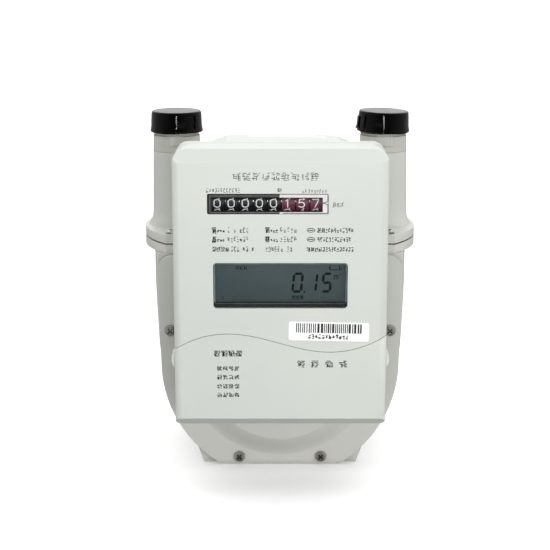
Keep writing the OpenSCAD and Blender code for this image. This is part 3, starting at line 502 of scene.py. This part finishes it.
def drum_print(i):
    v, f = [], []
    cx = W0 + i * PITCH

    def seg(p, q, w, lift=0.05):
        d = math.hypot(q[0] - p[0], q[1] - p[1]) or 1e-6
        ux, uz = (q[0] - p[0]) / d, (q[1] - p[1]) / d
        a, b = -uz * w / 2, ux * w / 2
        e, g = ux * w * 0.35, uz * w * 0.35
        c = [(p[0] - e + a, p[1] - g + b), (p[0] - e - a, p[1] - g - b), (q[0] + e - a, q[1] + g - b), (q[0] + e + a, q[1] + g + b)]
        k = len(v)
        v.extend(on_drum(x, s, lift) for x, s in c)
        v.extend(on_drum(x, s, -0.06) for x, s in c)
        f.extend([(k, k + 1, k + 2, k + 3), (k + 7, k + 6, k + 5, k + 4)])
        f.extend([(k + j, k + 4 + j, k + 4 + (j + 1) % 4, k + (j + 1) % 4) for j in range(4)])

    step = 2 * math.pi * WR / 10
    w, h = 4.15, 4.45
    for d in range(10):
        # the next higher figure lies above the one in the window
        s0 = ((d - SHOWN[i]) % 10) * step + 0.22
        if s0 > 5 * step + 0.3:
            s0 -= 10 * step
        for path in numeral_strokes(d):
            pts = [(cx - 0.25 + (x - 0.5) * w, s0 + (z - 0.5) * h) for x, z in path]
            for p, q in zip(pts, pts[1:]):
                n = max(1, int(abs(q[1] - p[1]) / 0.5))
                for t in range(n):
                    seg((p[0] + (q[0] - p[0]) * t / n, p[1] + (q[1] - p[1]) * t / n),
                        (p[0] + (q[0] - p[0]) * (t + 1) / n, p[1] + (q[1] - p[1]) * (t + 1) / n), 0.62, 0.05 + 0.002 * (t % 2))
        seg((cx + 0.9, s0 - step / 2 - 0.3), (cx + 0.9, s0 - step / 2 - 0.05), 0.55)
    make("wheel_%d_numerals" % (i + 1), v, f, NUMERAL, "number_wheel_%d" % (i + 1))


for i in range(8):
    drum_print(i)

# ------------------------------------------------------------------ window masks of the counter
p = Plate(-101.3, 0.1)
for x0, z0, x1, z1 in ((-41.5, 180.6, -0.5, 182.85), (-41.5, 171.2, -0.5, 172.5), (-41.5, 172.5, -38.9, 180.6)):
    p.rect(x0, z0, x1, z1)
p.done("counter_mask_black", BEZEL, "meter")
p = Plate(-101.42, 0.04)
for a, b, c, d in ((-40.0, 181.5, -0.5, 181.5), (-40.0, 172.0, -40.0, 181.5), (-40.0, 172.0, -0.5, 172.0)):
    p.line(a, b, c, d, 0.22)
p.done("counter_mask_line", PALE_LINE, "meter")
p = Plate(-101.3, 0.1)
for x0, z0, x1, z1 in ((-0.5, 180.6, 27.15, 182.85), (-0.5, 171.2, 27.15, 172.2), (23.9, 172.2, 27.15, 180.6)):
    p.rect(x0, z0, x1, z1)
p.done("counter_mask_white", BAND, "meter")
p = Plate(-101.42, 0.04)
for a, b, c, d in ((-0.5, 182.5, 26.75, 182.5), (26.75, 182.5, 26.75, 178.3), (26.75, 176.6, 26.75, 171.55), (26.75, 171.55, 1.5, 171.55),
                   (26.75, 178.3, 24.0, 177.45), (24.0, 177.45, 26.75, 176.6)):
    p.line(a, b, c, d, 0.36)
p.done("counter_bracket", INK, "meter")

# ------------------------------------------------------------------ display
Y_LCD = -96.8


def seven(p, x, z, w, h, t, on):
    """Slanted seven-segment figure, drawn as separate bars."""
    sl = 0.10
    g = t * 0.22

    def P(a, b):
        return (x + a + sl * b, z + b)
    hbar = lambda b: p.poly([P(g + t * 0.35, b), P(t * 0.85 + g, b + t / 2), P(w - t * 0.85 - g, b + t / 2), P(w - g - t * 0.35, b), P(w - t * 0.85 - g, b - t / 2), P(t * 0.85 + g, b - t / 2)])
    vbar = lambda a, b0, b1: p.poly([P(a, b0 + g), P(a + t / 2, b0 + t * 0.5 + g), P(a + t / 2, b1 - t * 0.5 - g), P(a, b1 - g), P(a - t / 2, b1 - t * 0.5 - g), P(a - t / 2, b0 + t * 0.5 + g)])
    for c in on:
        if c == "a": hbar(h - t / 2)
        if c == "g": hbar(h / 2)
        if c == "d": hbar(t / 2)
        if c == "f": vbar(t / 2, h / 2, h - t / 2)
        if c == "b": vbar(w - t / 2, h / 2, h - t / 2)
        if c == "e": vbar(t / 2, t / 2, h / 2)
        if c == "c": vbar(w - t / 2, t / 2, h / 2)


p = Plate(Y_LCD, 0.05)
seven(p, 6.1, 124.1, 6.4, 12.0, 1.5, "abcdef")
seven(p, 15.8, 124.1, 5.0, 12.0, 1.4, "bc")
seven(p, 23.1, 124.1, 6.0, 12.0, 1.5, "afgcd")
p.rect(13.3, 124.1, 14.3, 125.1)
p.done("lcd_figures", SEGMENT, "meter")
rng = random.Random(4)
p = Plate(Y_LCD, 0.045)
# battery outline
p.line(28.6, 139.8, 28.0, 138.8, 0.55)
p.line(28.0, 138.8, 28.9, 137.7, 0.55)
p.line(28.9, 137.7, 34.6, 137.7, 0.5)
p.line(34.6, 137.7, 35.1, 138.6, 0.5)
p.line(33.9, 138.3, 33.9, 139.9, 0.5)
for k in range(3):
    mark(p, rng, -25.5 + k * 2.25, 137.9, 1.7, 2.2, 0.36)
for k in range(3):
    mark(p, rng, 6.7 + k * 2.3, 120.0, 1.8, 2.7, 0.4)
for c in (31.0, 32.1, 33.2):
    p.line(c, 132.1, c, 134.2, 0.46)
p.line(31.0, 134.3, 33.0, 134.3, 0.46)
p.line(34.1, 134.4, 34.5, 135.3, 0.3)
p.ring(-33.3, 121.2, 0.65, 0.65, 0.25, 10)
p.done("lcd_icons", GHOST, "meter")
# painted shade and highlights: a dark strip below the display glass stands for the seat there and the shadowed gap
# under the display, a grey line on it paints a highlight on its upper edge, and a thin pale frame round the glass
# paints the reflection along the lens edges
p = Plate(-98.5, 0.25)
p.rect(-38.2, 116.3, 38.2, 118.9)
p.done("lcd_lower_gap_shade", BEZEL, "meter")
p = Plate(-98.8, 0.12)
p.rect(-37.6, 118.0, 37.6, 118.35)
p.done("lcd_seat_edge_highlight", SEAT_EDGE_HIGHLIGHT, "meter")
p = Plate(-98.5, 0.2)
p.rect(-38.2, 118.9, -37.5, 142.7)
p.rect(37.5, 118.9, 38.2, 142.7)
p.rect(-37.5, 141.4, 37.5, 142.1)
p.done("lcd_rim_reflection", PALE_LINE, "meter")

# ------------------------------------------------------------------ printing on the box
Y_FACE = -102.0
rng = random.Random(11)
p = Plate(Y_FACE, 0.03)
for k in range(9):
    mark(p, rng, -27.0 + k * 5.5, 190.3, 4.4, 4.8, 0.46, 4)
p.done("title_marks", INK_SOFT, "meter")
p = Plate(Y_FACE, 0.03)
x = -41.9
while x < -23.5:
    slim(p, rng, x, 183.5, 1.2, 2.5, 0.36)
    x += 1.62
mark(p, rng, -1.9, 183.8, 2.4, 2.3, 0.34, 3)
x = 12.3
while x < 26.6:
    slim(p, rng, x, 183.2, 1.1, 2.3, 0.28)
    x += 1.6
for k in range(3):
    mark(p, rng, 29.4 + k * 2.2, 175.1, 1.7, 3.1, 0.36, 3)
p.done("counter_marks", INK_SOFT, "meter")
p = Plate(Y_FACE, 0.03)
for z, h in ((160.4, 3.2), (155.1, 3.1), (149.5, 2.9)):
    big = z > 150
    x = -38.8
    if big:
        mark(p, rng, x, z - 0.4, 2.2, 3.6, 0.62, 5)
        x += 2.9
        for k in range(3):
            slim(p, rng, x, z, 1.2, 1.7, 0.4)
            x += 1.55
        x += 1.2
        for k in range(7):
            if rng.random() < 0.8:
                slim(p, rng, x, z, 1.3, h * rng.choice([0.7, 1, 1]), 0.42)
            x += 1.75
    else:
        for k in range(4):
            mark(p, rng, x, z, 2.1, h, 0.42)
            x += 2.45
        x += 0.8
        for k in range(8):
            if k not in (3, 6):
                slim(p, rng, x, z, 1.3, h, 0.45)
            x += 1.7
    x = -8.6
    if big:
        mark(p, rng, x, z - 0.1, 2.2, 3.4, 0.62, 5)
        x += 2.9
        for k in range(3):
            slim(p, rng, x, z, 1.2, 1.7, 0.4)
            x += 1.5
        x += 1.0
        for k in range(5):
            slim(p, rng, x, z, 1.4, h, 0.42)
            x += 2.0
    else:
        for k in range(9):
            if k != 6:
                slim(p, rng, x, z, 1.3, h, 0.45)
            x += 1.75
    x = 15.0
    if big:
        p.ring(17.3, z + 1.5, 2.4, 1.35, 0.4, 18)
        p.line(15.9, z + 1.5, 18.6, z + 1.5, 0.5)
        x = 21.0
    for k in range(12 if big else 15):
        if x > 41:
            break
        if k < 2 and z > 158 or (not big and k < 4):
            mark(p, rng, x, z, 1.8, h - 0.4, 0.42)
            x += 2.25
        else:
            slim(p, rng, x, z, 1.2, h - 0.4, 0.48)
            x += 1.62
p.done("data_marks", INK, "meter")

# printing on the flip cover
rng = random.Random(23)
p = Plate(Y_FACE, 0.03)
for k in range(4):
    mark(p, rng, -38.4 + k * 4.15, 87.3, 3.5, 3.7, 0.58, 5)
for z in (78.7, 73.5, 67.9, 62.7):
    for k in range(4):
        mark(p, rng, -36.7 + k * 3.35, z, 2.6, 2.7, 0.42, 4)
for k in range(4):
    mark(p, rng, 9.9 + k * 8.1, 80.6, 4.3, 4.4, 0.55, 4)
p.done("cover_marks", INK, "flip_cover")

# barcode of no meaning
rng = random.Random(31)
p = Plate(-102.15, 0.02, 0.01)
x = -19.0
while x < 18.6:
    w = rng.choice([0.55, 0.6, 0.9, 1.25])
    p.rect(27.95 + x, 102.3 - 0.9, 27.95 + min(x + w, 19.0), 102.3 + 4.7)
    x += w + rng.choice([0.5, 0.55, 0.8])
x = -11.8
for k in range(12):
    slim(p, rng, 27.95 + x, 102.3 - 4.3, 1.4, 2.5, 0.62)
    x += 1.98
p.done("sticker_bars", BAR, "meter", turn=(27.95, 102.3, math.radians(-1.2)))

# ------------------------------------------------------------------ strip on the rear housing
def hump(x):
    pts = [(-32, 207.4), (-20, 208.4), (0, 208.9), (20, 208.4), (35, 206.6)]
    for (a, za), (b, zb) in zip(pts, pts[1:]):
        if a <= x <= b:
            return za + (zb - za) * (x - a) / (b - a)
    return 207


v, f = [], []
xs = [-18.6 + 45.6 * k / 24 for k in range(25)]
for x in xs:
    for y in (-54.2, -48.2):
        z = min(hump(x), 208.4 + (y + 55) * 0.6 / 8)
        v += [(x, y, z + 0.10), (x, y, z - 0.05)]
for k in range(24):
    a, b = 4 * k, 4 * k + 4
    f += [(a, b, b + 2, a + 2), (a + 1, a + 3, b + 3, b + 1), (a, a + 1, b + 1, b), (a + 2, b + 2, b + 3, a + 3)]
f += [(0, 2, 3, 1), (96, 97, 99, 98)]
make("housing_strip", v, f, PAPER, "meter")

# ------------------------------------------------------------------ stage, lights and camera
fl = bpy.data.meshes.new("floor")
q = 14.0
fl.from_pydata([(-q, -q, 0), (q, -q, 0), (q, q, 0), (-q, q, 0)], [], [(0, 1, 2, 3)])
floor = bpy.data.objects.new("floor", fl)
bpy.context.scene.collection.objects.link(floor)
floor.location.z = -0.0002
fl.materials.append(surface("floor_paper", lin(246, 246, 246), lin(248, 248, 248), patch=3, rough=(0.8, 0.9), grain=300, depth=0.00002, strength=0.1,
                            Emission_Strength=0.2))
floor.visible_diffuse = floor.visible_glossy = False

world = bpy.data.worlds.new("world")
bpy.context.scene.world = world
world.use_nodes = True
wt = world.node_tree
wc = wt.nodes.new("ShaderNodeTexCoord")
axis = wt.nodes.new("ShaderNodeVectorMath")
axis.operation = "DOT_PRODUCT"
axis.inputs[1].default_value = (0.0, 0.5, 0.87)
wt.links.new(wc.outputs["Generated"], axis.inputs[0])
wr = wt.nodes.new("ShaderNodeValToRGB")
ramp = wr.color_ramp
ramp.elements[0].position, ramp.elements[0].color = 0.28, (0.15, 0.15, 0.153, 1)
ramp.elements[1].position, ramp.elements[1].color = 0.95, (2.08, 2.08, 2.08, 1)
for at, v in ((0.5, 0.2), (0.74, 0.36)):
    e = ramp.elements.new(at)
    e.color = (v, v, v, 1)
wm = wt.nodes.new("ShaderNodeMapRange")
wm.inputs["From Min"].default_value = -1.0
wm.inputs["From Max"].default_value = 1.0
wt.links.new(axis.outputs["Value"], wm.inputs["Value"])
wt.links.new(wm.outputs["Result"], wr.inputs["Fac"])
# the two sides of the tent are brighter than its front
split = wt.nodes.new("ShaderNodeSeparateXYZ")
wt.links.new(wc.outputs["Generated"], split.inputs["Vector"])
sq = wt.nodes.new("ShaderNodeMath")
sq.operation = "MULTIPLY"
wt.links.new(split.outputs["X"], sq.inputs[0])
wt.links.new(split.outputs["X"], sq.inputs[1])
tot = wt.nodes.new("ShaderNodeMath")
tot.operation = "MULTIPLY_ADD"
tot.inputs[1].default_value = 0.62
wt.links.new(sq.outputs["Value"], tot.inputs[0])
wt.links.new(wr.outputs["Color"], tot.inputs[2])
wt.links.new(tot.outputs["Value"], wt.nodes["Background"].inputs["Strength"])
wt.nodes["Background"].inputs["Color"].default_value = (1, 1, 1, 1)


def area(name, loc, target, sx, sy, power, gloss=False, color=(1, 1, 1)):
    d = bpy.data.lights.new(name, "AREA")
    d.shape = "RECTANGLE"
    d.size, d.size_y, d.energy, d.color = sx, sy, power, color
    o = bpy.data.objects.new(name, d)
    bpy.context.scene.collection.objects.link(o)
    o.location = loc
    o.rotation_euler = (Vector(target) - Vector(loc)).to_track_quat("-Z", "Y").to_euler()
    o.visible_camera = False
    o.visible_glossy = gloss
    return o


area("key", (0.02, -0.40, 0.36), (0, -0.1, 0.18), 0.4, 0.1, 0.24)
area("low_front", (0.2, -0.74, 0.17), (0, 0, 0.05), 1.0, 0.12, 3.0)
strip = area("front_strip", (0.0, -1.2, 0.225), (0, 0, 0.2), 0.02, 0.25, 3.6, True)
strip.visible_diffuse = False
area("floor_bounce", (0.0, -0.52, 0.012), (0, -0.1, 0.1), 0.8, 0.2, 0.5)

cam_data = bpy.data.cameras.new("camera")
cam_data.sensor_width = 36
cam_data.lens = 93.9
cam_data.clip_start, cam_data.clip_end = 0.01, 60
cam = bpy.data.objects.new("camera", cam_data)
bpy.context.scene.collection.objects.link(cam)
cam.location = (-0.003125, -0.8997, 0.3244)
cam.rotation_euler = (math.radians(76.7), 0, 0)
bpy.context.scene.camera = cam
bpy.context.scene.view_settings.view_transform = "Standard"
bpy.context.scene.view_settings.look = "None"
bpy.context.scene.view_settings.exposure = 0.0
bpy.context.scene.view_settings.gamma = 1.0
